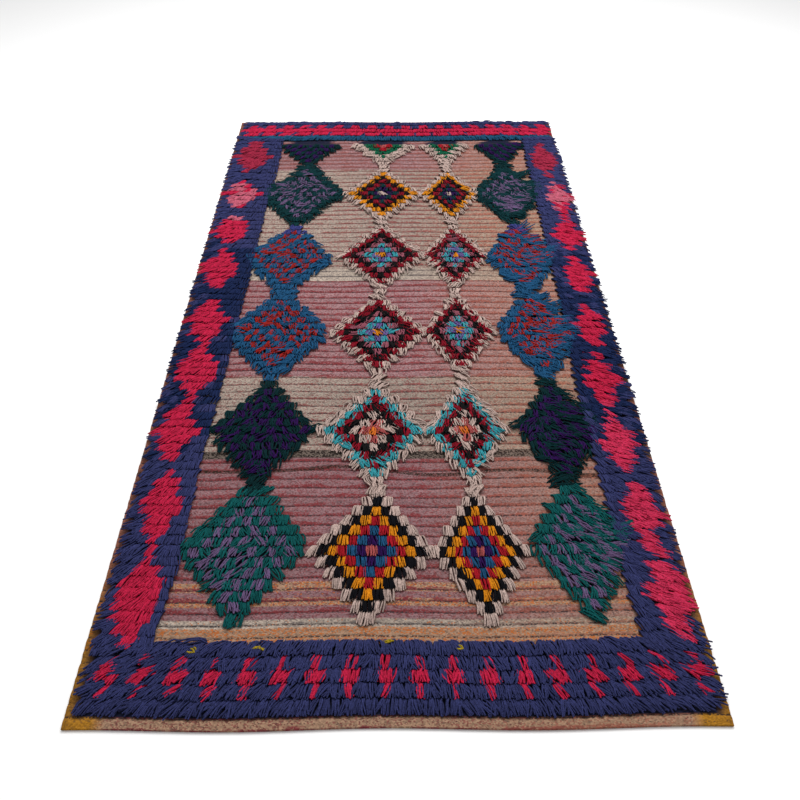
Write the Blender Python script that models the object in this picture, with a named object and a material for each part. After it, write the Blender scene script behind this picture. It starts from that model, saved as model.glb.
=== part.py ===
"""A hand-woven wool rug: a ribbed flat weave with knotted pile lozenges and a shaggy border.

Metres, +Z up. The rug lies face up on z = 0, centred on the origin, with its length along Y.
It is one cloth, so it is one solid. Pile is yarn tied on in rows while the ground is woven. All
of it leans towards -Y, the end where the weaver began, so the tips of each row cover the roots
of the row below like shingles.

The face is a net of points. Two lines of it cross the rug for each row of knots, one at the
roots and one at the crest. Where the weave is bare, they are the groove and the top of a rib.
"""

import math
import random
from collections import namedtuple

import bmesh
import bpy

# The weave. A row of knots stands on each rib, so ROW is the pitch of both. Rows are counted
# from the inner edge of the near end's pile band.
WIDTH = 1.350
ROW = 0.0293
FAR_BAND_ROW = 80
BAND_ROWS = 5
FIRST_ROW = 1 - BAND_ROWS
LAST_ROW = FAR_BAND_ROW + BAND_ROWS - 1

# Past the pile, in rows: how far the tips reach at the near end and the roots at the far end,
# and the plain woven end beyond them.
FRONT_REACH = 1.2
BACK_REACH = 0.3
PLAIN_END = 0.6
NEAR_END_ROW = FIRST_ROW - FRONT_REACH - PLAIN_END
FAR_END_ROW = LAST_ROW + BACK_REACH + PLAIN_END
MIDDLE_ROW = (NEAR_END_ROW + FAR_END_ROW) / 2

# Heights of the face above the floor.
PLAIN_Z = 0.0050
GROOVE_Z = 0.0040
RIB_Z = 0.0065
ROOT_Z = 0.0165
CREST_Z = 0.0215

# The two lines of each row: how far down the row they lie on bare weave and on pile, in rows,
# how high they are there, how much the pile flares out, and how far its locks reach at the rim.
Line = namedtuple("Line", "weave_at pile_at weave_z pile_z flare lock")
ROOTS = Line(0.00, 0.00, GROOVE_Z, ROOT_Z, 0.0, 0.0)
CREST = Line(0.45, 0.68, RIB_Z, CREST_Z, 0.0025, 0.0060)

# How uneven the hand work is.
LUMP = 0.0018
STRAY = 0.0080
END_LOCK = 0.0040
SELVEDGE_WANDER = 0.0025
SWAY = 0.0030
SWAY_ACROSS = 0.62
SWAY_ALONG = 1.90
SEED = 11

# The border strips, from the left rim of their pile to the right one.
Strip = namedtuple("Strip", "left right")
BORDER_LEFT = Strip(-0.664, -0.515)
BORDER_RIGHT = Strip(0.551, 0.664)

# The columns of lozenges: where the middle of each one is, and how wide a tuft is in it.
Column = namedtuple("Column", "centre tuft")
COLUMNS = (
    Column(-0.3690, 0.0214),
    Column(-0.0725, 0.0232),
    Column(0.2020, 0.0176),
    Column(0.4335, 0.0170),
)

# Tufts in each row of a lozenge, the near tip first. The last row is the neck to the next one.
LOZENGE_TUFTS = (1, 3, 5, 7, 9, 11, 13, 11, 9, 7, 5, 3, 1, 1)
FIRST_LOZENGE_ROW = 2
LAST_LOZENGE_ROW = 78

# The net across the rug. Pile rises from each rim to its full height within a shoulder, and the
# points between the rims of a stretch stand at that height.
SHOULDER = 0.009
MOST_SHOULDER = 0.30
BORDER_POINTS = 2
LOZENGE_POINTS = 3
RIMS = 2
NET_POINTS = 2 * (BORDER_POINTS + RIMS) + len(COLUMNS) * (LOZENGE_POINTS + RIMS)

# The wool as a whole, from its navy, crimson and rose yarns, as linear red, green and blue.
WOOL_COLOUR = (0.20, 0.085, 0.11)
WOOL_ROUGHNESS = 0.95


def clear_scene():
    for obj in list(bpy.data.objects):
        bpy.data.objects.remove(obj)


def wool():
    material = bpy.data.materials.new("wool")
    material.use_nodes = True
    shader = material.node_tree.nodes["Principled BSDF"]
    shader.inputs["Base Color"].default_value = (*WOOL_COLOUR, 1)
    shader.inputs["Roughness"].default_value = WOOL_ROUGHNESS
    shader.inputs["Metallic"].default_value = 0
    return material


def row_y(row):
    return (row - MIDDLE_ROW) * ROW


def sway(x, y):
    """How far the rows bend along the rug at this place."""
    return SWAY * math.sin(math.tau * (x / SWAY_ACROSS + y / SWAY_ALONG))


def weave_point(x, row, line):
    return (x, row_y(row) - line.weave_at * ROW, line.weave_z)


def pile_point(x, row, line, chance):
    lump = chance.uniform(-LUMP, LUMP)
    return (x, row_y(row) - line.pile_at * ROW, line.pile_z + lump)


def tufts_in(row):
    """Tufts across a lozenge in this row: none below the first lozenge and above the last."""
    if FIRST_LOZENGE_ROW <= row <= LAST_LOZENGE_ROW:
        return LOZENGE_TUFTS[(row - FIRST_LOZENGE_ROW) % len(LOZENGE_TUFTS)]
    return 0


def stretch(left, right, count, has_pile, row, line, chance):
    """The points of one stretch of a row: its rims on the weave, and count points between."""
    left -= line.flare * chance.random()
    right += line.flare * chance.random()
    shoulder = min(SHOULDER, MOST_SHOULDER * (right - left))
    step = (right - left - 2 * shoulder) / (count - 1)
    points = [weave_point(left, row, line)]
    for i in range(count):
        x = left + shoulder + step * i
        if has_pile:
            points.append(pile_point(x, row, line, chance))
        else:
            points.append(weave_point(x, row, line))
    points.append(weave_point(right, row, line))
    return points


def field_line(row, line, chance):
    """A line across a row of the field: a border strip, a stretch for each lozenge, a strip."""
    tufts = tufts_in(row)
    points = stretch(*BORDER_LEFT, BORDER_POINTS, True, row, line, chance)
    for column in COLUMNS:
        half = max(tufts, 1) * column.tuft / 2
        left, right = column.centre - half, column.centre + half
        points += stretch(left, right, LOZENGE_POINTS, tufts > 0, row, line, chance)
    points += stretch(*BORDER_RIGHT, BORDER_POINTS, True, row, line, chance)
    return points


def band_places():
    """Places across an end band: its rims, a shoulder inside each, and even steps between."""
    left, right = BORDER_LEFT.left, BORDER_RIGHT.right
    steps = NET_POINTS - RIMS - 1
    step = (right - left - 2 * SHOULDER) / steps
    return [left, *[left + SHOULDER + step * i for i in range(steps + 1)], right]


def band_line(row, line, chance):
    """A line across a row of an end band, which is pile from rim to rim."""
    points = []
    for x in band_places():
        points.append(pile_point(x + chance.uniform(-STRAY, STRAY), row, line, chance))
    return points


def with_locks(points, row, line, chance):
    """The same line with its outer rims down on the weave, where locks of pile splay out."""
    left = weave_point(BORDER_LEFT.left - line.lock * chance.random(), row, line)
    right = weave_point(BORDER_RIGHT.right + line.lock * chance.random(), row, line)
    return [left, *points[1:-1], right]


def end_edge(row):
    return [(x, row_y(row), PLAIN_Z) for x in band_places()]


def end_foot(row, chance):
    """Where the locks of an end band's pile come down on the plain woven end."""
    points = []
    for x in band_places():
        points.append((x, row_y(row) + chance.uniform(-END_LOCK, END_LOCK), PLAIN_Z))
    return points


def with_selvedges(points, chance):
    """The same line with a point on each selvedge."""
    _, left_y, left_z = points[0]
    _, right_y, right_z = points[-1]
    left = (-WIDTH / 2 + chance.uniform(0, SELVEDGE_WANDER), left_y, left_z)
    right = (WIDTH / 2 - chance.uniform(0, SELVEDGE_WANDER), right_y, right_z)
    return [left, *points, right]


def net():
    """All the lines of the face, the far end's first."""
    chance = random.Random(SEED)
    lines = [end_edge(FAR_END_ROW), end_foot(LAST_ROW + BACK_REACH, chance)]
    for row in range(LAST_ROW, FIRST_ROW - 1, -1):
        make_line = field_line if 0 < row < FAR_BAND_ROW else band_line
        for line in (ROOTS, CREST):
            points = make_line(row, line, chance)
            lines.append(with_locks(points, row, line, chance))
    lines += [end_foot(FIRST_ROW - FRONT_REACH, chance), end_edge(NEAR_END_ROW)]
    whole = [with_selvedges(points, chance) for points in lines]
    return [[(x, y + sway(x, y), z) for x, y, z in points] for points in whole]


def skin(bm, lines):
    """Faces between neighbouring lines of points."""
    made = [[bm.verts.new(point) for point in line] for line in lines]
    for far, near in zip(made, made[1:]):
        for i in range(len(far) - 1):
            bm.faces.new((far[i], near[i], near[i + 1], far[i + 1]))


def rim(bm):
    return [edge for edge in bm.edges if edge.is_boundary]


def close_underside(bm):
    """Walls from the rim of the face down to the floor, and one flat face there."""
    walls = bmesh.ops.extrude_edge_only(bm, edges=rim(bm))
    for item in walls["geom"]:
        if isinstance(item, bmesh.types.BMVert):
            item.co.z = 0
    bmesh.ops.holes_fill(bm, edges=rim(bm))
    bmesh.ops.recalc_face_normals(bm, faces=bm.faces)


def rug():
    bm = bmesh.new()
    skin(bm, net())
    close_underside(bm)
    mesh = bpy.data.meshes.new("rug")
    bm.to_mesh(mesh)
    bm.free()
    mesh.materials.append(wool())
    obj = bpy.data.objects.new("rug", mesh)
    bpy.context.scene.collection.objects.link(obj)


clear_scene()
rug()
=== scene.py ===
"""The looks of a hand-woven wool rug: its ribbed flat weave, and its pile strand by strand."""

import math
import random
from collections import namedtuple

import bmesh
import bpy
import numpy as np
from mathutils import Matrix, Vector, noise


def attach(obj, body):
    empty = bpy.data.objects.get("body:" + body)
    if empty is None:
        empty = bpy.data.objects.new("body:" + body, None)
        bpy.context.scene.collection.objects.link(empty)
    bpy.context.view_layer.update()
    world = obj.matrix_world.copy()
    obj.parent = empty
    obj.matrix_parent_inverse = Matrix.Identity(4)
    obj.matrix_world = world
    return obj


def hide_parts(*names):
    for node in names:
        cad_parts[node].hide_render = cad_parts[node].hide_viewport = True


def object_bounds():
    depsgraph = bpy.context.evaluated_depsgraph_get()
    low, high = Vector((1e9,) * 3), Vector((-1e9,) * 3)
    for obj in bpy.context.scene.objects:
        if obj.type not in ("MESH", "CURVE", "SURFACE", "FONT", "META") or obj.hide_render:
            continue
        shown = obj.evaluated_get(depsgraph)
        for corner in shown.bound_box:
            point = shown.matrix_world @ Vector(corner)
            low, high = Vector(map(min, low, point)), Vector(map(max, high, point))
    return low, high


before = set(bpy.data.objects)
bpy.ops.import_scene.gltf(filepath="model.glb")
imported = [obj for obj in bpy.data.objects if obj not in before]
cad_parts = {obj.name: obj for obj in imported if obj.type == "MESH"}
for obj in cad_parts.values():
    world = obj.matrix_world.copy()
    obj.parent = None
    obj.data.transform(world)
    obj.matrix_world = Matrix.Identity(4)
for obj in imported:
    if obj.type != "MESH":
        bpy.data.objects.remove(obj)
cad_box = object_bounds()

# The weave, as in the solid. Rows of knots are counted from the near end band's inner edge.
LOW, HIGH = (Vector(corner) for corner in cad_box)
WIDTH = HIGH.x - LOW.x
ROW = 0.0293
FAR_BAND_ROW = 80
LAST_ROW = 84
NEAR_END_ROW = -5.8
FAR_END_ROW = 84.9
MIDDLE_ROW = (NEAR_END_ROW + FAR_END_ROW) / 2
LENGTH = (FAR_END_ROW - NEAR_END_ROW) * ROW
SWAY = 0.0030
SWAY_ACROSS = 0.62
SWAY_ALONG = 1.90

# The ground: heights above the floor, the share of a row that is its pale puff, how uneven it is
# and how far its selvedges wander. Ten steps to a row draw every rib alike.
GROOVE_Z = 0.0040
RIB_RISE = 0.0014
PUFF_RISE = 0.0017
CORD_RISE = 0.0010
PUFF_SHARE = 0.65
UNEVEN = 0.0010
UNEVEN_SCALE = 30.0
SELVEDGE_WANDER = 0.0025
WANDER_SCALE = 24.0
SELVEDGE_FROM = 0.600
STEPS_A_ROW = 10
STEPS_ACROSS = 48

# A strand of pile as it lies. It comes out of its knot just behind the row's groove, rises to the
# crest, lies down and droops. The outer strands of a tuft are shorter and lower than the middle
# ones, and the free ones have nothing below them to lie on. The powers set how soon along a strand
# each of these happens.
STRAND_WIDTH = 0.0058
STRAND_THICKNESS = 0.0040
STRAND_POINTS = 4
STRAND_SIDES = 3
FAN_DEGREES = 8
PILLOW = 0.011
ROOT_Z = 0.0060
CREST_Z = 0.0205
DROOP = 0.0025
FREE_DROOP = 0.0085
OUTER_CUT = 0.5
BOW = 0.05
RISE_POWER = 2.4
DROOP_POWER = 3.0
REACH_POWER = 1.4
TIP_SIZE = 0.8
TIP_GROWTH = 4.0
KNOT_AT = 0.35
SEEN_AT = 0.65

# What each strand has by chance, between two values.
STRAND_CHANCES = {
    "stray": (-1.0, 1.0),
    "cut": (0.93, 1.05),
    "x": (-0.0007, 0.0007),
    "y": (-1.0, 1.0),
    "curl": (-1.0, 1.0),
    "lift": (-0.0006, 0.0006),
    "shade": (0.0, 1.0),
}

# How far the strands of a tuft stray beside the tuft itself, and how far a tuft is lifted.
STRAND_STRAY = 0.6
TUFT_LIFT = 0.0012

# How far apart the pieces' seeds are, because the tree uses one for each chance of a strand.
SEED_STEP = 10

# How far the tips of pile reach from their knots. Pile that lies sideways reaches further.
FIELD_PILE = 0.038
BORDER_PILE = 0.039
BAND_PILE = 0.040
SIDEWAYS_REACH = 0.65

# How far along the rug the strands of a tuft are rooted from its row, and when it lies sideways.
KNOT_SPREAD = 0.0015
SIDEWAYS_SPREAD = 0.0150

# Where the pile turns, in degrees from straight towards the near end: minus is to the left. In the
# borders that goes by the distance from their inner edge, and elsewhere by the place across the
# rug. It drifts from that over some 0.2 m.
FIELD_LIE = {
    -0.45: -20, -0.37: -15, -0.07: 0, 0.10: 2, 0.20: 10, 0.31: 14, 0.38: 24, 0.44: 42, 0.52: 54,
}
LEFT_LIE = {0.01: -3, 0.03: -14, 0.07: -34, 0.15: -54}
RIGHT_LIE = {0.01: 22, 0.03: 46, 0.06: 60, 0.12: 56}
BAND_LIE = {-0.66: -45, -0.50: -38, -0.30: -30, -0.12: -5, 0: 0, 0.25: 18, 0.40: 28, 0.52: 40, 0.66: 60}
DRIFT_DEGREES = 14
DRIFT_SCALE = 4.5

# The dyed and undyed yarns of the pile, in sRGB.
YARNS = {
    "navy": "#2D3158",
    "deep navy": "#152144",
    "dusk blue": "#1B4663",
    "crimson": "#AB1C3D",
    # Crimson painted lighter: painted light for the right border's near rows.
    "light crimson": "#B62B4D",
    "dull crimson": "#8A2139",
    "faded pink": "#AB5467",
    "teal": "#094A4A",
    "mauve": "#5C4A6A",
    "spruce": "#032427",
    "purple": "#270A42",
    "blue": "#1A476A",
    "violet": "#33376E",
    "scarlet": "#861D1A",
    "deep teal": "#062C30",
    "red": "#90131F",
    "yellow": "#BA7412",
    "gold": "#A08A1E",
    "ink": "#09090F",
    "cream": "#A9948C",
    "rose": "#944746",
    "orange": "#B55F1F",
    "black": "#111011",
    "wine": "#770D1E",
    "turquoise": "#328690",
    "lilac": "#5C4C7D",
    "dusty pink": "#834855",
    "emerald": "#0A5239",
}

# The columns of lozenges: where the middle is by row, how wide a tuft is, and its strands.
OUTER_LEFT = {0: -0.366, 36: -0.366, 50: -0.372, 64: -0.354}
INNER_LEFT = {
    2: -0.072, 9: -0.060, 14: -0.048, 16: -0.056, 22: -0.064, 28: -0.056, 42: -0.058, 44: -0.050,
}
INNER_RIGHT = {
    2: 0.208, 9: 0.197, 14: 0.190, 16: 0.195, 22: 0.186, 28: 0.193, 44: 0.193, 50: 0.206, 78: 0.204,
}
OUTER_RIGHT = {0: 0.441, 36: 0.441, 50: 0.436, 64: 0.434}
Column = namedtuple("Column", "place centre tuft strands")
COLUMNS = (
    Column("outer_left", OUTER_LEFT, 0.0220, 10),
    Column("inner_left", INNER_LEFT, 0.0232, 10),
    Column("inner_right", INNER_RIGHT, 0.0176, 8),
    Column("outer_right", OUTER_RIGHT, 0.0182, 9),
)

# The manner of a lozenge's pile: how far its tufts stray, splay and swirl, in degrees, how long
# they are beside the usual, how many tufts more than a sharp lozenge's its rows have on each side
# above and below the middle, and how many are on each side of its neck's middle one.
Manner = namedtuple("Manner", "stray splay swirl length above below neck")
NEAT = Manner(7, 10, 14, 1.0, 0, 0, 0)

# Each set of lozenges, from the near end: its middle row, the outer pair's two yarns and how wide
# a tuft of the second one is beside the usual, the inner pair's rings from the middle out, and the
# manners of the two pairs.
Set = namedtuple("Set", "middle checks second rings outer inner")
BLUE_CHECKS = ("blue", "scarlet")
WINE_RINGS = ("yellow", "lilac", "turquoise", "dusty pink", "black", "wine", "cream")
SETS = (
    Set(
        8.7, ("teal", "mauve"), 0.85,
        ("rose", "purple", "blue", "red", "yellow", "ink", "cream"),
        Manner(16, 14, 34, 1.0, 1, 0, 0), NEAT,
    ),
    Set(
        22, ("spruce", "purple"), 0.8,
        ("orange", "rose", "cream", "black", "wine", "turquoise", "cream"),
        Manner(20, 20, 50, 1.05, 0, 0, 0), Manner(20, 24, 30, 1.08, 0, 0, 0),
    ),
    Set(
        36, BLUE_CHECKS, 0.75, WINE_RINGS,
        Manner(22, 26, 60, 1.0, 1, 1, 0), Manner(20, 24, 24, 0.95, 0, 0, 0),
    ),
    Set(
        50, BLUE_CHECKS, 0.72, WINE_RINGS,
        Manner(22, 26, 60, 1.0, 0, 1, 1), Manner(22, 26, 24, 0.95, 0, 0, 0),
    ),
    Set(
        64, ("deep teal", "mauve"), 0.7,
        ("cream", "purple", "deep teal", "wine", "black", "yellow", "cream"),
        Manner(26, 30, 80, 1.1, 1, 1, 0), Manner(16, 22, 24, 1.0, 0, 0, 0),
    ),
    Set(
        78, ("spruce", "purple"), 0.8,
        ("rose", "rose", "red", "emerald", "emerald", "cream", "cream"),
        Manner(12, 26, 30, 1.1, 0, 0, 1), Manner(20, 26, 30, 1.0, 0, 0, 0),
    ),
)

# A lozenge's rows on each side of its middle one, the sets that are whole, the row from which blue
# wool runs out and violet takes its place, how wide a tuft is that stands alone in its row, how
# close together the swirls are, and how far below its row the ground under a lozenge's pile gets
# painted shade, in rows.
HALF_ROWS = 6
WHOLE_SETS = 5
VIOLET_FROM = 55
LONE_TUFT = 1.5
SWIRL_SCALE = 13.0
SHADE_BELOW = 0.3

# The border's crimson lozenges: the middle row, the rows from there to a tip, the middle's place
# across the rug and the half width there.
Motif = namedtuple("Motif", "row reach x half")
LEFT_MOTIFS = (
    Motif(4.6, 4.9, -0.584, 0.061),
    Motif(13.5, 4.2, -0.584, 0.059),
    Motif(22.0, 3.9, -0.598, 0.064),
    Motif(30.1, 4.2, -0.586, 0.066),
    Motif(38.0, 4.6, -0.594, 0.065),
    Motif(47.2, 4.4, -0.596, 0.067),
    Motif(55.4, 3.8, -0.590, 0.071),
    Motif(64.0, 4.2, -0.593, 0.073),
    Motif(74.2, 5.0, -0.584, 0.077),
)
RIGHT_MOTIFS = (
    Motif(4.6, 5.0, 0.617, 0.050),
    Motif(12.2, 4.0, 0.603, 0.050),
    Motif(20.2, 4.2, 0.594, 0.047),
    Motif(28.5, 4.2, 0.592, 0.054),
    Motif(36.8, 4.2, 0.606, 0.052),
    Motif(45.7, 4.4, 0.611, 0.051),
    Motif(53.9, 4.0, 0.616, 0.055),
    Motif(62.3, 4.6, 0.620, 0.050),
    Motif(72.6, 5.2, 0.602, 0.056),
)

# The border strips: the pile's outer and inner edges by row, how many tufts it is across, their
# lie, the motifs, the crimson by the row where each starts, and the faded rows. The crimsons are
# batches of dye, but the right strip's first one is a lighter copy of crimson: painted light, for
# the brighter light on that side's pile.
LEFT_OUTER = {1: -0.652, 18: -0.657, 26: -0.663}
LEFT_INNER = {
    1: -0.530, 7: -0.512, 18: -0.515, 27: -0.505, 35: -0.500, 50: -0.490, 60: -0.488, 70: -0.474,
}
RIGHT_OUTER = {0: 0.656, 20: 0.660, 30: 0.667}
RIGHT_INNER = {1: 0.537, 5: 0.530, 15: 0.526, 25: 0.520, 40: 0.534, 79: 0.540}
LEFT_CRIMSONS = {0: "crimson", 68: "dull crimson"}
# The first is crimson painted lighter, as painted light on the right strip's near rows.
RIGHT_CRIMSONS = {0: "light crimson", 26: "crimson", 68: "dull crimson"}
Border = namedtuple("Border", "name outer inner tufts lie motifs crimsons faded")
BORDERS = (
    Border("border_left", LEFT_OUTER, LEFT_INNER, 7, LEFT_LIE, LEFT_MOTIFS, LEFT_CRIMSONS, (58, 66)),
    Border("border_right", RIGHT_OUTER, RIGHT_INNER, 7, RIGHT_LIE, RIGHT_MOTIFS, RIGHT_CRIMSONS, (60, 66)),
)

# The share of deep navy by row and of faded pink in the faded rows, the strands of a tuft and how
# far they stray, how long a row's pile is beside the usual, and how loose the strip's inner edge
# is and how much looser the outer one.
DEEP_NAVY_SHARE = {18: 0, 22: 0.7, 29: 0.8, 48: 0.8, 54: 0}
FADED_SHARE = 0.8
BORDER_STRANDS = 11
BORDER_STRAY = 12
ROW_LENGTHS = (0.94, 1.10)
INNER_LOOSE = 0.4
LOOSER = 0.5

# The bands across the ends: for each row its yarn, and which tufts of each six change between
# navy and crimson. The ground under the pile gets painted shade: from side to side at both ends,
# down to the plain woven ones, and between the bands only under the borders and the lozenges. At
# the far end it reaches just out from under the far band's first row, as a thin painted shadow.
BAND_SIDES = (-0.652, 0.660)
PILE_SHADE_ROWS = (-4.9, 84.4)
FIELD_SHADE_ROWS = (0.4, 78.6)
BAND_TUFTS = 108
BAND_STRANDS = 7
TOOTH = 6
BANDS = {
    "end_near": {
        0.3: ("navy", ()),
        -0.8: ("navy", (3,)),
        -1.8: ("navy", (2, 3, 4)),
        -2.9: ("navy", (3,)),
        -4.0: ("navy", ()),
    },
    "end_far": {
        79.6: ("dusk blue", ()),
        80.7: ("crimson", (0,)),
        81.8: ("crimson", ()),
        82.9: ("navy", (2, 3, 4)),
        84.0: ("navy", ()),
    },
}

# The stripes of the ground: where each starts, its wefts, the cord's share of a row, and how
# many orange flecks it has.
Stripe = namedtuple("Stripe", "start puff cord cord_share flecks")
STRIPES = (
    Stripe(NEAR_END_ROW, "tan", "rust", 0.30, 0.0),
    Stripe(0.0, "tan", "tan", 0.20, 0.7),
    Stripe(1.8, "oat", "grey", 0.10, 0.1),
    Stripe(2.5, "rose", "rust", 0.26, 0.0),
    Stripe(3.6, "tan", "rust", 0.24, 0.5),
    Stripe(4.2, "rose", "rust", 0.30, 0.1),
    Stripe(4.8, "tan", "rust", 0.22, 0.4),
    Stripe(5.6, "rose", "rust", 0.32, 0.0),
    Stripe(18.5, "brown", "brown", 0.30, 0.0),
    Stripe(19.3, "cream", "faint rust", 0.22, 0.0),
    Stripe(29.1, "pale rose", "rust", 0.34, 0.0),
    Stripe(45.1, "oat", "grey", 0.18, 0.0),
    Stripe(47.4, "cream", "faint rust", 0.33, 0.0),
    Stripe(70.5, "pale rose", "faint rust", 0.38, 0.0),
)

# The wefts of the ground, in sRGB.
WEFTS = {
    "tan": "#94755F",
    "oat": "#9A8C80",
    "cream": "#8A7D73",
    "rose": "#7D5D60",
    "pale rose": "#88686A",
    "rust": "#6F2F32",
    "faint rust": "#74423F",
    "grey": "#6B625E",
    "beaded": "#5A4E49",
    "brown": "#3E2F29",
    "salmon": "#8F5A47",
    "ochre": "#9A6A1E",
    # Not a weft: painted shade for the ground wherever pile lies over it, dark navy so gaps between
    # strands read as shadow.
    "shadowed": "#12162B",
}

# How much each row's batch of wool differs. Across the rug: how pale the cream is, how wide its
# cords are, where the brown row is solid, and how much salmon is mixed in, most of it in the
# cords. Along the rug: how much ochre there is in the selvedges. Then how strong the beads are.
BATCHES = 0.07
BATCH_SEED = 7
FIRST_BATCH = -8
LAST_BATCH = LAST_ROW + 3
CREAM_SHADE = {-0.35: 1.14, -0.05: 0.94, 0.5: 0.90}
CREAM_CORDS = {-0.35: 0.4, 0: 1.0, 0.4: 1.2}
SOLID_BROWN = {-0.42: 0, -0.36: 1, -0.20: 1, -0.14: 0}
SALMON_SHARE = {0.05: 0, 0.45: 1}
SALMON_IN_CORDS = 0.8
TAN_IN_PUFFS = 0.5
OCHRE_SHARE = {0: 1, 8: 0}
BEADED = 0.85

# Loose ends of gold weft that stick out of the near band: their places, rows and degrees, and
# how long, wide and high they are.
LOOSE_ENDS = (
    (-0.436, -0.3, 60),
    (-0.302, -0.3, 75),
    (-0.290, -0.1, 20),
    (-0.017, 0.0, 65),
    (0.134, -0.2, 50),
)
LOOSE_LENGTH = 0.014
LOOSE_WIDTH = 0.006
LOOSE_STRANDS = 3
LOOSE_LIFT = 0.002

# One dark weft wanders across the field between these two rows.
DARK_WEFT_ROWS = (16.3, 17.5)

# The studio. The camera stands where the rug's sides converge as they do in the photograph.
FLOOR_REACH = 20
FLOOR_BELOW = 0.0005
SOFTBOX_PLACE = (0.3, 1.1, 3.2)
CAMERA_PLACE = (0, -1.960, 1.569)
CAMERA_DOWN = 45.1
CAMERA_TURN = -0.36

Tuft = namedtuple("Tuft", "x row yarn width strands lean stray reach droop lift spread")


def linear(code):
    """A colour from its sRGB hex code, as linear red, green, blue and alpha."""
    parts = [int(code[i : i + 2], 16) / 255 for i in (1, 3, 5)]
    return [p / 12.92 if p <= 0.04045 else ((p + 0.055) / 1.055) ** 2.4 for p in parts] + [1]


def add(tree, kind, values=(), **settings):
    """Adds a node with its settings, gives its sockets values or links, and returns its output."""
    node = tree.nodes.new(kind)
    for name, value in settings.items():
        setattr(node, name, value)
    pairs = values.items() if isinstance(values, dict) else enumerate(values)
    for socket, value in pairs:
        if isinstance(value, bpy.types.NodeSocket):
            tree.links.new(value, node.inputs[socket])
        else:
            node.inputs[socket].default_value = value
    return next((socket for socket in node.outputs if socket.enabled), None)


MATH = "ShaderNodeMath"
VECTOR = "ShaderNodeVectorMath"
MIX = "ShaderNodeMix"
STORE = "GeometryNodeStoreNamedAttribute"
STORED = "GeometryNodeInputNamedAttribute"
RANGE = "ShaderNodeMapRange"


def new_tree(name, inputs):
    """An empty geometry tree with a mesh in and out, and its other inputs by name."""
    tree = bpy.data.node_groups.new(name, "GeometryNodeTree")
    tree.interface.new_socket("Geometry", in_out="OUTPUT", socket_type="NodeSocketGeometry")
    tree.interface.new_socket("Geometry", in_out="INPUT", socket_type="NodeSocketGeometry")
    for label, kind in inputs.items():
        tree.interface.new_socket(label, in_out="INPUT", socket_type=kind)
    return tree, tree.nodes.new("NodeGroupInput").outputs


def grow(name, mesh, tree, inputs, helpers=()):
    """Runs a tree on a mesh and returns the plain result, without the attributes that only helped."""
    obj = bpy.data.objects.new(name, mesh)
    bpy.context.scene.collection.objects.link(obj)
    modifier = obj.modifiers.new(tree.name, "NODES")
    modifier.node_group = tree
    for item in tree.interface.items_tree:
        if item.in_out == "INPUT" and item.name in inputs:
            modifier[item.identifier] = inputs[item.name]
    depsgraph = bpy.context.evaluated_depsgraph_get()
    result = bpy.data.meshes.new_from_object(obj.evaluated_get(depsgraph), depsgraph=depsgraph)
    obj.modifiers.clear()
    obj.data = result
    result.name = name
    for helper in helpers:
        result.attributes.remove(result.attributes[helper])
    return obj


def row_y(row):
    return (row - MIDDLE_ROW) * ROW


def sway(x, y):
    """How far the rows bend along the rug at this place, as in the solid."""
    return SWAY * math.sin(math.tau * (x / SWAY_ACROSS + y / SWAY_ALONG))


def drift(x, row):
    """How far the pile's lie drifts at this place, in degrees."""
    return DRIFT_DEGREES * noise.noise(Vector((x * DRIFT_SCALE, row * ROW * DRIFT_SCALE, 0)))


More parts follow.
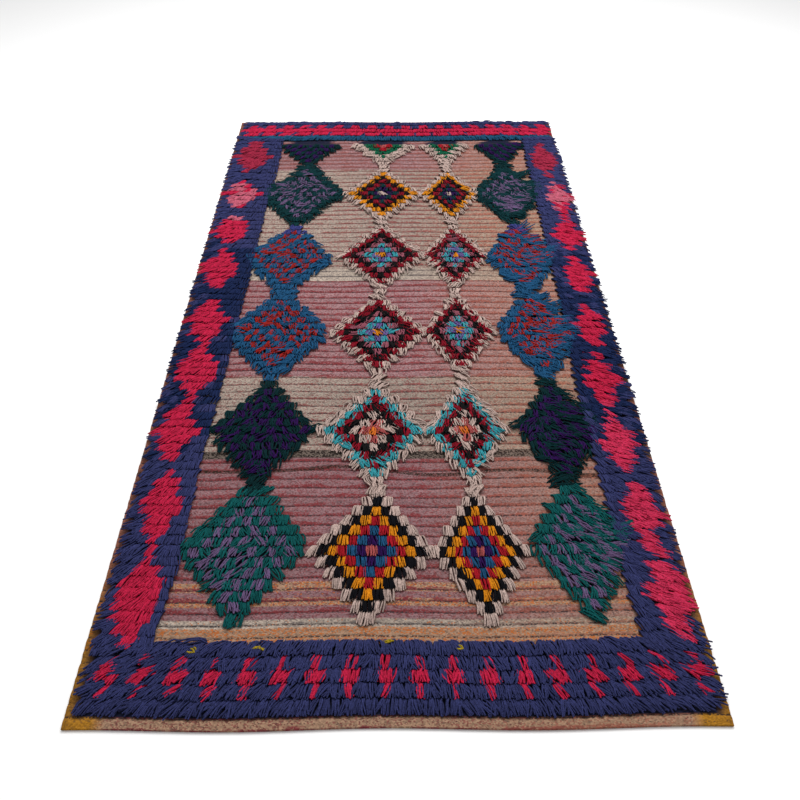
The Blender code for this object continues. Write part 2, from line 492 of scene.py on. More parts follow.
def ribbed_weave_tree(cloth):
    """The face of the ground: a net with a pale puff and a thin cord raised in each row."""
    sizes = ("Width", "Length", "Row", "Groove", "Rib Rise", "Puff Rise", "Cord Rise", "Uneven", "Wander")
    inputs = {label: "NodeSocketFloat" for label in sizes}
    inputs["Steps Across"] = "NodeSocketInt"
    inputs["Steps Along"] = "NodeSocketInt"
    tree, given = new_tree("ribbed weave", inputs)
    spans = [given[label] for label in ("Width", "Length", "Steps Across", "Steps Along")]
    grid = add(tree, "GeometryNodeMeshGrid", spans)
    place = add(tree, "GeometryNodeInputPosition")
    x = add(tree, "ShaderNodeSeparateXYZ", (place,))
    y = x.node.outputs["Y"]
    row = add(tree, MATH, (y, given["Row"]), operation="DIVIDE")
    row = add(tree, MATH, (row, MIDDLE_ROW), operation="ADD")

    # How far down its row a point is, from 0 to 1. The puff comes first and then the cord. The
    # nudge keeps the points of a groove in one row.
    nudged = add(tree, MATH, (row, 0.001), operation="ADD")
    up = add(tree, MATH, (nudged,), operation="FRACT")
    down = add(tree, MATH, (1.0, up), operation="SUBTRACT")
    z = given["Groove"]
    humps = (("Rib Rise", 0, 1), ("Puff Rise", 0, PUFF_SHARE), ("Cord Rise", PUFF_SHARE, 1))
    for rise, start, end in humps:
        turn = add(tree, RANGE, (down, start, end, 0.0, math.pi))
        hump = add(tree, MATH, (turn,), operation="SINE")
        hump = add(tree, MATH, (hump, given[rise]), operation="MULTIPLY")
        z = add(tree, MATH, (z, hump), operation="ADD")
    bump = add(tree, "ShaderNodeTexNoise", {"Vector": place, "Scale": UNEVEN_SCALE, "Detail": 1.0})
    bump = add(tree, MATH, (bump, 0.5), operation="SUBTRACT")
    bump = add(tree, MATH, (bump, given["Uneven"]), operation="MULTIPLY")
    z = add(tree, MATH, (z, bump), operation="ADD")

    # The rows bend as they do in the solid, and the selvedges wander in and out.
    bend = add(tree, MATH, (x, SWAY_ACROSS), operation="DIVIDE")
    along = add(tree, MATH, (y, SWAY_ALONG), operation="DIVIDE")
    bend = add(tree, MATH, (bend, along), operation="ADD")
    bend = add(tree, MATH, (bend, math.tau), operation="MULTIPLY")
    bend = add(tree, MATH, (bend,), operation="SINE")
    bend = add(tree, MATH, (bend, SWAY), operation="MULTIPLY")
    waves = {"W": y, "Scale": WANDER_SCALE}
    wander = add(tree, "ShaderNodeTexNoise", waves, noise_dimensions="1D")
    wander = add(tree, MATH, (wander, given["Wander"]), operation="MULTIPLY")
    narrow = add(tree, MATH, (wander, x), operation="MULTIPLY")
    narrow = add(tree, MATH, (narrow, 2 / WIDTH), operation="MULTIPLY")
    moved_x = add(tree, MATH, (x, narrow), operation="SUBTRACT")
    moved_y = add(tree, MATH, (y, bend), operation="ADD")
    moved = add(tree, "ShaderNodeCombineXYZ", (moved_x, moved_y, z))
    face = add(tree, STORE, {"Geometry": grid, "Name": "row", "Value": row})
    face = add(tree, "GeometryNodeSetPosition", {"Geometry": face, "Position": moved})
    face = add(tree, "GeometryNodeSetShadeSmooth", {"Geometry": face})
    face = add(tree, "GeometryNodeRealizeInstances", {"Geometry": face})
    face = add(tree, "GeometryNodeSetMaterial", {"Geometry": face, "Material": cloth})
    add(tree, "NodeGroupOutput", (face,))
    return tree


def close_underside(mesh):
    """Walls from the rim of the face down to the floor, and one flat face there."""
    bm = bmesh.new()
    bm.from_mesh(mesh)
    walls = bmesh.ops.extrude_edge_only(bm, edges=[edge for edge in bm.edges if edge.is_boundary])
    for item in walls["geom"]:
        if isinstance(item, bmesh.types.BMVert):
            item.co.z = 0
    bmesh.ops.holes_fill(bm, edges=[edge for edge in bm.edges if edge.is_boundary])
    bmesh.ops.recalc_face_normals(bm, faces=bm.faces)

    # Blender makes the walls in any order. Sorted by place, the faces are the same each run.
    by_middle = sorted(bm.faces, key=lambda face: tuple(face.calc_center_median()))
    rank = {face: number for number, face in enumerate(by_middle)}
    bm.faces.sort(key=lambda face: rank[face])
    bm.to_mesh(mesh)
    bm.free()


def by_place(table, place):
    """The value of a table at this place, between the two nearest that it gives."""
    return float(np.interp(place, list(table), list(table.values())))


def gets_pile_shade(x, row):
    """Whether to paint shade on the ground here: pile covers it here and a step to each side, where the
    painted shade fades out.
    """
    step = WIDTH / STEPS_ACROSS
    if not PILE_SHADE_ROWS[0] < row < PILE_SHADE_ROWS[1]:
        return False
    if not FIELD_SHADE_ROWS[0] < row < FIELD_SHADE_ROWS[1]:
        return BAND_SIDES[0] < x < BAND_SIDES[1]
    for border in BORDERS:
        outer = by_place(border.outer, row)
        side = math.copysign(1, outer)
        if side * by_place(border.inner, row) + step < side * x < side * outer:
            return True
    for column in COLUMNS:
        for plan in SETS:
            half = (HALF_ROWS - abs(row + SHADE_BELOW - plan.middle)) * column.tuft - step
            if half > 0 and abs(x - by_place(column.centre, row)) < half:
                return True
    return False


def mixed(first, second, share):
    return [a + (b - a) * share for a, b in zip(first, second)]


def dye_wefts(mesh):
    """Colours each point of the ground by its stripe, row and place across the rug, or paints shade under
    pile.
    """
    wefts = {name: linear(code) for name, code in WEFTS.items()}
    chance = random.Random(BATCH_SEED)
    batches = {}
    for row in range(FIRST_BATCH, LAST_BATCH + 1):
        batches[row] = 1 + chance.uniform(-BATCHES, BATCHES)
    starts = [stripe.start for stripe in STRIPES]
    rows = mesh.attributes["row"].data
    puffs, cords, shares, flecks, beads = [], [], [], [], []
    for vertex in mesh.vertices:
        x, row = vertex.co.x, rows[vertex.index].value
        stripe = STRIPES[max(int(np.searchsorted(starts, row, "right")) - 1, 0)]
        puff, cord = wefts[stripe.puff], wefts[stripe.cord]
        if stripe.puff == "brown":
            puff = mixed(wefts["beaded"], puff, by_place(SOLID_BROWN, x))
        share = stripe.cord_share
        if stripe.puff in ("cream", "oat"):
            puff = [part * by_place(CREAM_SHADE, x) for part in puff]
            share *= by_place(CREAM_CORDS, x)
        salmon = by_place(SALMON_SHARE, x)
        cord = mixed(cord, wefts["salmon"], SALMON_IN_CORDS * salmon)
        puff = mixed(puff, wefts["tan"], TAN_IN_PUFFS * salmon)
        # Painted shade: under pile the ground is dark navy, with no flecks or beads.
        pile_shade = gets_pile_shade(x, row)
        if pile_shade:
            puff = cord = wefts["shadowed"]
        elif abs(x) > SELVEDGE_FROM:
            puff = cord = mixed(wefts["salmon"], wefts["ochre"], by_place(OCHRE_SHARE, row))
        batch = batches[int(row)]
        puffs += [batch * part for part in puff[:3]] + [1]
        cords += [batch * part for part in cord[:3]] + [1]
        shares.append(share)
        flecks.append(0 if pile_shade else stripe.flecks)
        beads.append(BEADED if stripe.puff == "brown" and not pile_shade else 0)
    for name, values in (("puff", puffs), ("cord", cords)):
        mesh.attributes.new(name, "FLOAT_COLOR", "POINT").data.foreach_set("color", values)
    for name, values in (("cord_share", shares), ("flecks", flecks), ("beads", beads)):
        mesh.attributes.new(name, "FLOAT", "POINT").data.foreach_set("value", values)


def flat_weave(cloth):
    """The ribbed ground as one closed sheet."""
    inputs = {
        "Width": WIDTH,
        "Length": LENGTH,
        "Row": ROW,
        "Groove": GROOVE_Z,
        "Rib Rise": RIB_RISE,
        "Puff Rise": PUFF_RISE,
        "Cord Rise": CORD_RISE,
        "Uneven": UNEVEN,
        "Wander": SELVEDGE_WANDER,
        "Steps Across": STEPS_ACROSS + 1,
        "Steps Along": round((FAR_END_ROW - NEAR_END_ROW) * STEPS_A_ROW) + 1,
    }
    weave = grow("flat_weave", bpy.data.meshes.new("flat_weave"), ribbed_weave_tree(cloth), inputs)
    close_underside(weave.data)
    dye_wefts(weave.data)
    return weave


OF_TUFT = ("width", "strands", "lean", "stray", "reach", "droop", "lift", "spread")
HELPERS = ("root", "aim", "swerve", *OF_TUFT)


def knotted_pile_tree(yarn):
    """Cut yarn knotted in tufts. Each point is a tuft, and its strands rise, lie down and overlap."""
    sizes = ("Strand Width", "Strand Thickness", "Root Height", "Crest Height", "Fan", "Pillow")
    inputs = {label: "NodeSocketFloat" for label in sizes}
    inputs["Seed"] = "NodeSocketInt"
    tree, given = new_tree("knotted pile", inputs)
    tuft = {}
    for label in OF_TUFT:
        tuft[label] = add(tree, STORED, {"Name": label}, data_type="FLOAT")
    chances = {}
    for number, (label, (low, high)) in enumerate(STRAND_CHANCES.items()):
        seed = add(tree, MATH, (given["Seed"], number), operation="ADD")
        chances[label] = add(tree, "FunctionNodeRandomValue", {2: low, 3: high, "Seed": seed})

    # The strands of a tuft stand side by side, and fan out. A strand's share is its place across
    # the tuft, from -0.5 to 0.5.
    points = add(tree, "GeometryNodeMeshToPoints", {"Mesh": given["Geometry"]})
    many = {"Geometry": points, "Amount": tuft["strands"]}
    points = add(tree, "GeometryNodeDuplicateElements", many, domain="POINT")
    number = points.node.outputs["Duplicate Index"]
    share = add(tree, MATH, (number, 0.5), operation="ADD")
    share = add(tree, MATH, (share, tuft["strands"]), operation="DIVIDE")
    share = add(tree, MATH, (share, 0.5), operation="SUBTRACT")
    squared = add(tree, MATH, (share, share), operation="MULTIPLY")
    turn = add(tree, MATH, (chances["stray"], tuft["stray"]), operation="MULTIPLY")
    turn = add(tree, MATH, (turn, tuft["lean"]), operation="ADD")
    fan = add(tree, MATH, (share, given["Fan"]), operation="MULTIPLY")
    turn = add(tree, MATH, (turn, fan), operation="ADD")
    across = add(tree, MATH, (turn,), operation="SINE")
    down = add(tree, MATH, (turn,), operation="COSINE")
    nearer = add(tree, MATH, (down, -1.0), operation="MULTIPLY")
    aim = add(tree, "ShaderNodeCombineXYZ", (across, nearer))
    side = add(tree, "ShaderNodeCombineXYZ", (down, across))

    # How far it reaches and how much it bows to a side. The outer ones are shorter, which rounds
    # the tuft's end.
    shorter = add(tree, MATH, (squared, -OUTER_CUT), operation="MULTIPLY")
    reach = add(tree, MATH, (shorter, chances["cut"]), operation="ADD")
    reach = add(tree, MATH, (reach, tuft["reach"]), operation="MULTIPLY")
    aim = add(tree, VECTOR, {0: aim, "Scale": reach}, operation="SCALE")
    curl = add(tree, MATH, (chances["curl"], tuft["stray"]), operation="MULTIPLY")
    curl = add(tree, MATH, (curl, BOW), operation="MULTIPLY")
    swerve = add(tree, VECTOR, {0: side, "Scale": curl}, operation="SCALE")

    # Where it is rooted. The outer ones are lower, which rounds the tuft's back.
    beside = add(tree, MATH, (share, tuft["width"]), operation="MULTIPLY")
    beside = add(tree, MATH, (beside, chances["x"]), operation="ADD")
    above = add(tree, MATH, (chances["lift"], tuft["lift"]), operation="ADD")
    lower = add(tree, MATH, (squared, given["Pillow"]), operation="MULTIPLY")
    above = add(tree, MATH, (above, lower), operation="SUBTRACT")
    behind = add(tree, MATH, (chances["y"], tuft["spread"]), operation="MULTIPLY")
    offset = add(tree, "ShaderNodeCombineXYZ", (beside, behind, above))
    points = add(tree, "GeometryNodeSetPosition", {"Geometry": points, "Offset": offset})
    notes = {"root": add(tree, "GeometryNodeInputPosition"), "aim": aim, "swerve": swerve}
    for label, value in notes.items():
        values = {"Geometry": points, "Name": label, "Value": value}
        points = add(tree, STORE, values, data_type="FLOAT_VECTOR")
    points = add(tree, STORE, {"Geometry": points, "Name": "shade", "Value": chances["shade"]})

    # Each strand is a short line, which is then bent along its own way by its part, from 0 to 1.
    line = add(tree, "GeometryNodeCurvePrimitiveLine")
    line = add(tree, "GeometryNodeResampleCurve", {"Curve": line, "Count": STRAND_POINTS})
    strands = add(tree, "GeometryNodeInstanceOnPoints", {"Points": points, "Instance": line})
    strands = add(tree, "GeometryNodeRealizeInstances", {"Geometry": strands})
    part = add(tree, "GeometryNodeSplineParameter")
    noted = {}
    for label in notes:
        noted[label] = add(tree, STORED, {"Name": label}, data_type="FLOAT_VECTOR")
    rest = add(tree, MATH, (1.0, part), operation="SUBTRACT")
    unrisen = add(tree, MATH, (rest, RISE_POWER), operation="POWER")
    rise = add(tree, MATH, (1.0, unrisen), operation="SUBTRACT")
    height = add(tree, MATH, (given["Crest Height"], given["Root Height"]), operation="SUBTRACT")
    height = add(tree, MATH, (rise, height), operation="MULTIPLY")
    height = add(tree, MATH, (height, given["Root Height"]), operation="ADD")
    fall = add(tree, MATH, (part, DROOP_POWER), operation="POWER")
    fall = add(tree, MATH, (fall, tuft["droop"]), operation="MULTIPLY")
    height = add(tree, MATH, (height, fall), operation="SUBTRACT")
    gone = add(tree, MATH, (part, REACH_POWER), operation="POWER")
    bow = add(tree, MATH, (part, math.pi), operation="MULTIPLY")
    bow = add(tree, MATH, (bow,), operation="SINE")
    way = add(tree, VECTOR, {0: noted["aim"], "Scale": gone}, operation="SCALE")
    aside = add(tree, VECTOR, {0: noted["swerve"], "Scale": bow}, operation="SCALE")
    way = add(tree, VECTOR, (way, aside), operation="ADD")
    way = add(tree, VECTOR, (way, noted["root"]), operation="ADD")
    raised = add(tree, "ShaderNodeCombineXYZ", {"Z": height})
    way = add(tree, VECTOR, (way, raised), operation="ADD")
    strands = add(tree, "GeometryNodeSetPosition", {"Geometry": strands, "Position": way})
    strands = add(tree, STORE, {"Geometry": strands, "Name": "along", "Value": part})
    strands = add(tree, "GeometryNodeSetCurveNormal", {"Curve": strands}, mode="Z_UP")

    # A strand is a flattened tube that thins at its tip.
    outline = add(tree, "GeometryNodeCurvePrimitiveCircle", {"Resolution": STRAND_SIDES, "Radius": 0.5})
    outline = add(tree, STORE, {"Geometry": outline, "Name": "around", "Value": part})
    flat_up = (0, 0, -math.pi / 2)
    outline = add(tree, "GeometryNodeTransform", {"Geometry": outline, "Rotation": flat_up})
    size = add(tree, "ShaderNodeCombineXYZ", (given["Strand Width"], given["Strand Thickness"], 1.0))
    outline = add(tree, "GeometryNodeTransform", {"Geometry": outline, "Scale": size})
    taper = add(tree, MATH, (rest, TIP_GROWTH), operation="MULTIPLY")
    taper = add(tree, MATH, (taper, TIP_SIZE), operation="ADD")
    taper = add(tree, MATH, (taper, 1.0), operation="MINIMUM")
    sweep = {"Curve": strands, "Profile Curve": outline, "Scale": taper, "Fill Caps": True}
    shag = add(tree, "GeometryNodeCurveToMesh", sweep)
    shag = add(tree, "GeometryNodeSetShadeSmooth", {"Geometry": shag})
    shag = add(tree, "GeometryNodeRealizeInstances", {"Geometry": shag})
    shag = add(tree, "GeometryNodeSetMaterial", {"Geometry": shag, "Material": yarn})
    add(tree, "NodeGroupOutput", (shag,))
    return tree


def tuft_points(name, tufts):
    """A point at the root of each tuft, which carries what the tree needs to know about it."""
    mesh = bpy.data.meshes.new(name)
    places = []
    for tuft in tufts:
        # A tuft is placed by its outer part, which shows, so a leaning one is rooted beside that.
        x = tuft.x - SEEN_AT * tuft.reach * math.sin(tuft.lean)
        y = row_y(tuft.row + KNOT_AT)
        places.append((x, y + sway(x, y), 0))
    mesh.from_pydata(places, [], [])
    for label in OF_TUFT:
        values = [getattr(tuft, label) for tuft in tufts]
        mesh.attributes.new(label, "FLOAT", "POINT").data.foreach_set("value", values)
    colours = [part for tuft in tufts for part in linear(YARNS[tuft.yarn])]
    mesh.attributes.new("yarn", "FLOAT_COLOR", "POINT").data.foreach_set("color", colours)
    return mesh


def pile_piece(name, tufts, tree, seed):
    inputs = {
        "Seed": seed,
        "Strand Width": STRAND_WIDTH,
        "Strand Thickness": STRAND_THICKNESS,
        "Root Height": ROOT_Z,
        "Crest Height": CREST_Z,
        "Fan": math.radians(FAN_DEGREES),
        "Pillow": PILLOW,
    }
    return grow(f"pile_{name}", tuft_points(name, tufts), tree, inputs, HELPERS)


def tied(x, row, yarn, width, strands, degrees, stray, pile_length, free, chance):
    """A tuft whose lie and height are a little its own. One that lies sideways fills its row."""
    lean = math.radians(degrees + chance.gauss(0, stray))
    sideways = 1 - math.cos(lean)
    reach = pile_length * (1 + SIDEWAYS_REACH * sideways)
    droop = FREE_DROOP if free else DROOP
    lift = chance.uniform(-TUFT_LIFT, TUFT_LIFT)
    spread = KNOT_SPREAD + SIDEWAYS_SPREAD * sideways
    strand_stray = math.radians(STRAND_STRAY * stray)
    return Tuft(x, row, yarn, width, strands, lean, strand_stray, reach, droop, lift, spread)


def tufts_beside(step, manner):
    """How many tufts are on each side of the middle one, so many rows from the widest row."""
    if abs(step) > HALF_ROWS:
        return manner.neck
    more = manner.above if step > 0 else manner.below
    return min(HALF_ROWS - abs(step) + more, HALF_ROWS)


def lozenge_yarn(outer, plan, step, i, beside):
    """The yarn of a tuft so many rows and tufts from the middle of a lozenge."""
    if not outer:
        return plan.rings[min(abs(step) + abs(i), HALF_ROWS)]
    on_rim = abs(i) == beside or abs(step) > HALF_ROWS
    yarn = plan.checks[0 if on_rim else (step + i) % 2]
    if yarn == "blue" and plan.middle + step >= VIOLET_FROM:
        return "violet"
    return yarn


def lozenge_tufts(column, number, chance):
    """The tufts of one lozenge and of the neck below it, which joins it to the next."""
    plan = SETS[number]
    outer = column.place.startswith("outer")
    manner = plan.outer if outer else plan.inner
    first = -HALF_ROWS - 1 if number else -HALF_ROWS
    last = HALF_ROWS if number < WHOLE_SETS else -1
    tufts = []
    for step in range(first, last + 1):
        row = plan.middle + step
        centre = by_place(column.centre, row)
        beside = tufts_beside(step, manner)
        beside_below = tufts_beside(step - 1, manner)
        for i in range(-beside, beside + 1):
            x = centre + i * column.tuft
            swirl = noise.noise(Vector((x * SWIRL_SCALE, row * ROW * SWIRL_SCALE, number)))
            turn = by_place(FIELD_LIE, x) + drift(x, row)
            turn += manner.splay * i / HALF_ROWS + manner.swirl * swirl
            yarn = lozenge_yarn(outer, plan, step, i, beside)
            share = LONE_TUFT if beside == 0 else 1
            if outer and beside:
                share = plan.second if yarn == plan.checks[1] else 2 - plan.second
            width = share * column.tuft
            strands = round(share * column.strands)
            free = abs(i) > beside_below or step == -HALF_ROWS and number == 0
            length = FIELD_PILE * manner.length
            size = (width, strands)
            tufts.append(tied(x, row, yarn, *size, turn, manner.stray, length, free, chance))
    return tufts


def border_yarn(border, x, row, chance):
    """Crimson inside a motif and navy outside. Some of the crimson has faded to pink."""
    for motif in border.motifs:
        half = motif.half * (1 - abs(row - motif.row) / motif.reach)
        if abs(x - motif.x) < half:
            faded = border.faded[0] <= row <= border.faded[1] and chance.random() < FADED_SHARE
            # A batch of crimson, or on the right at first crimson painted lighter as painted light.
            batch = [yarn for start, yarn in border.crimsons.items() if start <= row][-1]
            return "faded pink" if faded else batch
    return "deep navy" if chance.random() < by_place(DEEP_NAVY_SHARE, row) else "navy"


def border_tufts(border, chance):
    """The tufts of one side strip. Each row's are cut alike."""
    tufts = []
    for row in range(1, FAR_BAND_ROW):
        length = BORDER_PILE * chance.uniform(*ROW_LENGTHS)
        outer = by_place(border.outer, row)
        width = (by_place(border.inner, row) - outer) / border.tufts
        for i in range(border.tufts):
            x = outer + (i + 0.5) * width
            yarn = border_yarn(border, x, row, chance)
            # The inner edge is the neat one.
            from_inner = border.tufts - i - 0.5
            loose = INNER_LOOSE + LOOSER * from_inner / border.tufts
            turn = by_place(border.lie, from_inner * abs(width)) + loose * drift(x, row)
            stray = loose * BORDER_STRAY
            size = (abs(width), BORDER_STRANDS)
            tufts.append(tied(x, row, yarn, *size, turn, stray, length, False, chance))
    return tufts


def band_tufts(rows, chance):
    """The tufts of the band across one end. Gold weft sticks out of the near one."""
    left, right = BAND_SIDES
    width = (right - left) / BAND_TUFTS
    tufts = []
    for row, (plain, teeth) in rows.items():
        for i in range(BAND_TUFTS):
            x = left + (i + 0.5) * width
            yarn = plain
            if i % TOOTH in teeth:
                yarn = "navy" if plain == "crimson" else "crimson"
            turn = by_place(BAND_LIE, x) + drift(x, row)
            size = (width, BAND_STRANDS)
            free = row == min(rows)
            tufts.append(tied(x, row, yarn, *size, turn, BORDER_STRAY, BAND_PILE, free, chance))
    if min(rows) < 0:
        for x, row, degrees in LOOSE_ENDS:
            size = (LOOSE_WIDTH, LOOSE_STRANDS)
            end = tied(x, row, "gold", *size, degrees, BORDER_STRAY, LOOSE_LENGTH, False, chance)
            tufts.append(end._replace(lift=LOOSE_LIFT, spread=KNOT_SPREAD))
    return tufts


def wool_yarn():
    """Hand-spun carpet wool, dyed in the hank: matt and soft, with a dye that varies by strand."""
    material = bpy.data.materials.new("hand-spun wool yarn")
    material.use_nodes = True
    tree = material.node_tree
    shader = tree.nodes["Principled BSDF"]
    colour = add(tree, "ShaderNodeAttribute", attribute_name="yarn")
    shade = add(tree, "ShaderNodeAttribute", attribute_name="shade").node.outputs["Fac"]
    along = add(tree, "ShaderNodeAttribute", attribute_name="along").node.outputs["Fac"]
    around = add(tree, "ShaderNodeAttribute", attribute_name="around").node.outputs["Fac"]
    value = add(tree, RANGE, (shade, 0.0, 1.0, 0.78, 1.24))

    # The dye is uneven along a strand too, in patches some 4 mm long.
    place = add(tree, "ShaderNodeTexCoord").node.outputs["Object"]
    patches = add(tree, "ShaderNodeTexNoise", {"Vector": place, "Scale": 260.0, "Detail": 1.0})
    patches = add(tree, RANGE, (patches, 0.3, 0.7, 0.72, 1.28))
    value = add(tree, MATH, (value, patches), operation="MULTIPLY")
    colour = add(tree, "ShaderNodeHueSaturation", {"Value": value, "Color": colour})
    tree.links.new(colour, shader.inputs["Base Color"])

    # Two plies are twisted together, some seven turns to a strand.
    twist = add(tree, MATH, (along, 14.0), operation="MULTIPLY")
    plies = add(tree, MATH, (around, 2.0), operation="MULTIPLY")
    twist = add(tree, MATH, (plies, twist), operation="ADD")
    twist = add(tree, MATH, (twist, math.tau), operation="MULTIPLY")
    ply = add(tree, MATH, (twist,), operation="SINE")
    bump = add(tree, "ShaderNodeBump", {"Strength": 0.5, "Distance": 0.0004, "Height": ply})
    tree.links.new(bump, shader.inputs["Normal"])
    shader.inputs["Roughness"].default_value = 0.9
    shader.inputs["Specular IOR Level"].default_value = 0.1
    return material


def wool_cloth():
    """Weft-faced wool: pale heathered puffs, rust-red cords between them and painted shade in the grooves.
    """
    material = bpy.data.materials.new("ribbed wool flatweave")
    material.use_nodes = True
    tree = material.node_tree
    shader = tree.nodes["Principled BSDF"]
    row = add(tree, "ShaderNodeAttribute", attribute_name="row").node.outputs["Fac"]
    share = add(tree, "ShaderNodeAttribute", attribute_name="cord_share").node.outputs["Fac"]
    flecks = add(tree, "ShaderNodeAttribute", attribute_name="flecks").node.outputs["Fac"]
    puff = add(tree, "ShaderNodeAttribute", attribute_name="puff")
    cord = add(tree, "ShaderNodeAttribute", attribute_name="cord")
    place = add(tree, "ShaderNodeTexCoord").node.outputs["Object"]
    x = add(tree, "ShaderNodeSeparateXYZ", (place,))

    # How far down its row a point is. The cords wander a little, as they aren't ruled.
    wander = add(tree, "ShaderNodeTexNoise", {"Vector": place, "Scale": 14.0})
    wander = add(tree, RANGE, (wander, 0.0, 1.0, -0.10, 0.10))
    at = add(tree, MATH, (row, wander), operation="ADD")
    up = add(tree, MATH, (at,), operation="FRACT")
    down = add(tree, MATH, (1.0, up), operation="SUBTRACT")

    # Wefts show as dashes some 3.4 mm long and 2.4 mm high, coarser than real so that they show.
    # Each has chances of its own: how pale it is, and whether it is another yarn.
    picks = add(tree, VECTOR, (place, (290.0, 420.0, 0.0)), operation="MULTIPLY")
    dashes = add(tree, "ShaderNodeTexVoronoi", {"Vector": picks, "Scale": 1.0}, voronoi_dimensions="2D")
    pale = add(tree, "ShaderNodeSeparateColor", (dashes.node.outputs["Color"],))
    other = pale.node.outputs["Green"]
    odd = pale.node.outputs["Blue"]
    heather = add(tree, RANGE, (pale, 0.0, 1.0, 0.72, 1.30))
    puff = add(tree, VECTOR, {0: puff, "Scale": heather}, operation="SCALE")
    cord = add(tree, VECTOR, {0: cord, "Scale": heather}, operation="SCALE")
    rusty = add(tree, RANGE, (other, 0.72, 0.76, 0.0, 0.7))
    strewn = add(tree, MIX, {0: rusty, 6: puff, 7: cord}, data_type="RGBA")
    faint = add(tree, RANGE, (other, 0.24, 0.28, 0.6, 0.0))
    cord = add(tree, MIX, {0: faint, 6: cord, 7: puff}, data_type="RGBA")
    dark = add(tree, RANGE, (odd, 0.90, 0.92, 0.0, 0.5))
    strewn = add(tree, MIX, {0: dark, 6: strewn, 7: linear("#3A2E30")}, data_type="RGBA")
    spots = add(tree, MATH, (flecks, 0.5), operation="MULTIPLY")
    spots = add(tree, MATH, (spots, odd), operation="SUBTRACT")
    spots = add(tree, RANGE, (spots, 0.0, 0.04, 0.0, 0.8))
    puff = add(tree, MIX, {0: spots, 6: strewn, 7: linear("#A8581C")}, data_type="RGBA")

    # The cord at the foot of each row swells, thins and breaks off over some 80 mm.
    streaks = add(tree, VECTOR, (place, (13.0, 60.0, 0.0)), operation="MULTIPLY")
    streaks = add(tree, "ShaderNodeTexNoise", {"Vector": streaks, "Scale": 1.0, "Detail": 2.0})
    streaks = add(tree, RANGE, (streaks, 0.36, 0.64, -0.24, 0.14))
    is_cord = add(tree, MATH, (share, streaks), operation="ADD")
    is_cord = add(tree, MATH, (is_cord, up), operation="SUBTRACT")
    is_cord = add(tree, RANGE, (is_cord, -0.06, 0.06, 0.0, 1.0))
    colour = add(tree, MIX, {0: is_cord, 6: puff, 7: cord}, data_type="RGBA")

    # Painted shade: a dark broken line along the groove between the ribs.
    groove_shade = add(tree, MATH, (up, down), operation="MINIMUM")
    groove_shade = add(tree, RANGE, (groove_shade, 0.04, 0.12, 0.9, 0.0))
    broken = add(tree, RANGE, (other, 0.4, 0.6, 1.0, 0.1))
    groove_shade = add(tree, MATH, (groove_shade, broken), operation="MULTIPLY")
    colour = add(tree, MIX, {0: groove_shade, 6: colour, 7: linear("#2A2224")}, data_type="RGBA")

    # A row of dark beads on pale, where two wefts take turns.
    beads = add(tree, "ShaderNodeAttribute", attribute_name="beads").node.outputs["Fac"]
    bead = add(tree, RANGE, (other, 0.50, 0.60, 0.0, 1.0))
    bead = add(tree, MIX, {0: bead, 6: linear("#1C1512"), 7: linear("#655951")}, data_type="RGBA")
    colour = add(tree, MIX, {0: beads, 6: colour, 7: bead}, data_type="RGBA")

    # One dark weft wanders across the whole field, half a row high at most.
    low, high = DARK_WEFT_ROWS
    waves = {"W": x, "Scale": 3.2, "Detail": 0.0}
    wanders = add(tree, "ShaderNodeTexNoise", waves, noise_dimensions="1D")
    wanders = add(tree, RANGE, (wanders, 0.2, 0.8, -high, -low))
    off = add(tree, MATH, (wanders, row), operation="ADD")
    off = add(tree, MATH, (off,), operation="ABSOLUTE")
    off = add(tree, RANGE, (off, 0.16, 0.24, 1.0, 0.0))
    seen = add(tree, RANGE, (other, 0.4, 0.6, 1.0, 0.4))
    off = add(tree, MATH, (off, seen), operation="MULTIPLY")
    colour = add(tree, MIX, {0: off, 6: colour, 7: linear("#2A1E17")}, data_type="RGBA")

    bump = add(tree, "ShaderNodeBump", {"Strength": 0.5, "Distance": 0.0008, "Height": pale})
    tree.links.new(colour, shader.inputs["Base Color"])
    tree.links.new(bump, shader.inputs["Normal"])
    shader.inputs["Roughness"].default_value = 0.92
    shader.inputs["Specular IOR Level"].default_value = 0.15
    return material


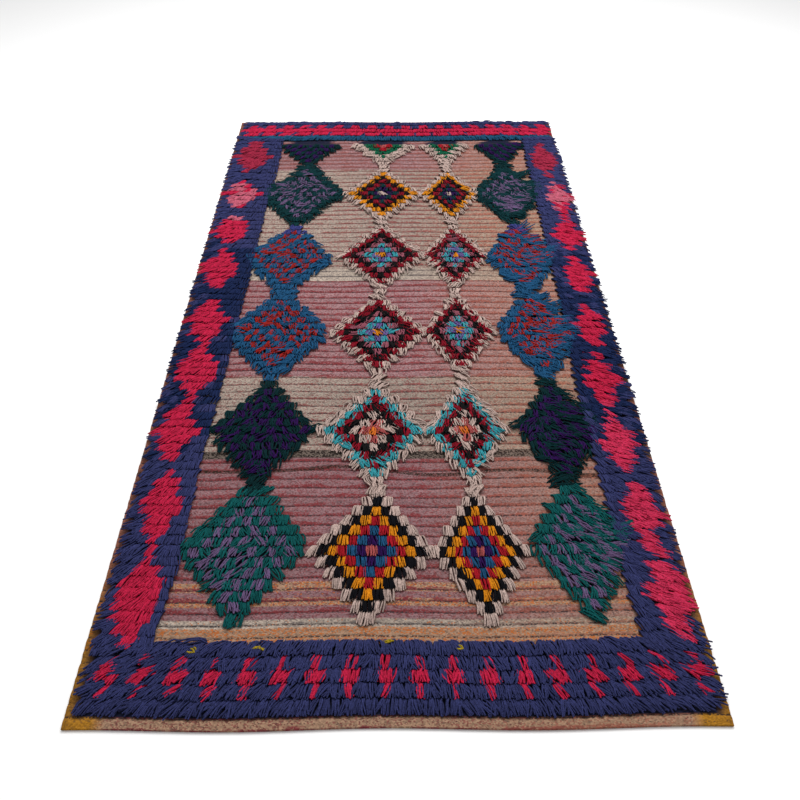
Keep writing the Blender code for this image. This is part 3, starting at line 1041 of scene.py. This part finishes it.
def studio():
    """A pale floor, a broad soft light above, a pale sky, and the camera at eye height."""
    floor_mesh = bpy.data.meshes.new("floor")
    reach, low = FLOOR_REACH, -FLOOR_BELOW
    corners = [(-reach, -reach, low), (reach, -reach, low), (reach, reach, low), (-reach, reach, low)]
    floor_mesh.from_pydata(corners, [], [(0, 1, 2, 3)])
    floor = bpy.data.objects.new("floor", floor_mesh)
    bpy.context.scene.collection.objects.link(floor)
    paint = bpy.data.materials.new("matt white floor")
    paint.use_nodes = True
    shader = paint.node_tree.nodes["Principled BSDF"]
    shader.inputs["Base Color"].default_value = (0.93, 0.93, 0.93, 1)
    shader.inputs["Roughness"].default_value = 0.9
    floor_mesh.materials.append(paint)

    world = bpy.data.worlds.new("pale sky")
    world.use_nodes = True
    world.node_tree.nodes["Background"].inputs["Color"].default_value = (1, 1, 1, 1)
    world.node_tree.nodes["Background"].inputs["Strength"].default_value = 0.55
    bpy.context.scene.world = world

    lamp = bpy.data.lights.new("softbox", "AREA")
    lamp.shape = "RECTANGLE"
    lamp.size = 3.2
    lamp.size_y = 2.4
    lamp.energy = 150
    softbox = bpy.data.objects.new("softbox", lamp)
    softbox.location = SOFTBOX_PLACE
    softbox.rotation_euler = (-softbox.location).to_track_quat("-Z", "Y").to_euler()
    bpy.context.scene.collection.objects.link(softbox)

    lens = bpy.data.cameras.new("camera")
    lens.lens = 35.0
    lens.sensor_width = 36
    camera = bpy.data.objects.new("camera", lens)
    camera.location = CAMERA_PLACE
    camera.rotation_euler = (math.radians(90 - CAMERA_DOWN), 0, math.radians(CAMERA_TURN))
    bpy.context.scene.collection.objects.link(camera)
    bpy.context.scene.camera = camera
    bpy.context.scene.view_settings.view_transform = "Standard"


studio()
weave = flat_weave(wool_cloth())
pile_tree = knotted_pile_tree(wool_yarn())
plans = []
for border in BORDERS:
    plans.append((border.name, border_tufts, (border,)))
for name, rows in BANDS.items():
    plans.append((name, band_tufts, (rows,)))
for column in COLUMNS:
    for number in range(len(SETS)):
        kind = "lozenge" if number < WHOLE_SETS else "half_lozenge"
        plans.append((f"{kind}_{column.place}_{number + 1}", lozenge_tufts, (column, number)))
pieces = []
for number, (name, make_tufts, what) in enumerate(plans):
    tufts = make_tufts(*what, random.Random(number))
    pieces.append(pile_piece(name, tufts, pile_tree, SEED_STEP * number))

for piece in (weave, *pieces):
    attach(piece, "root")
    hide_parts("rug")
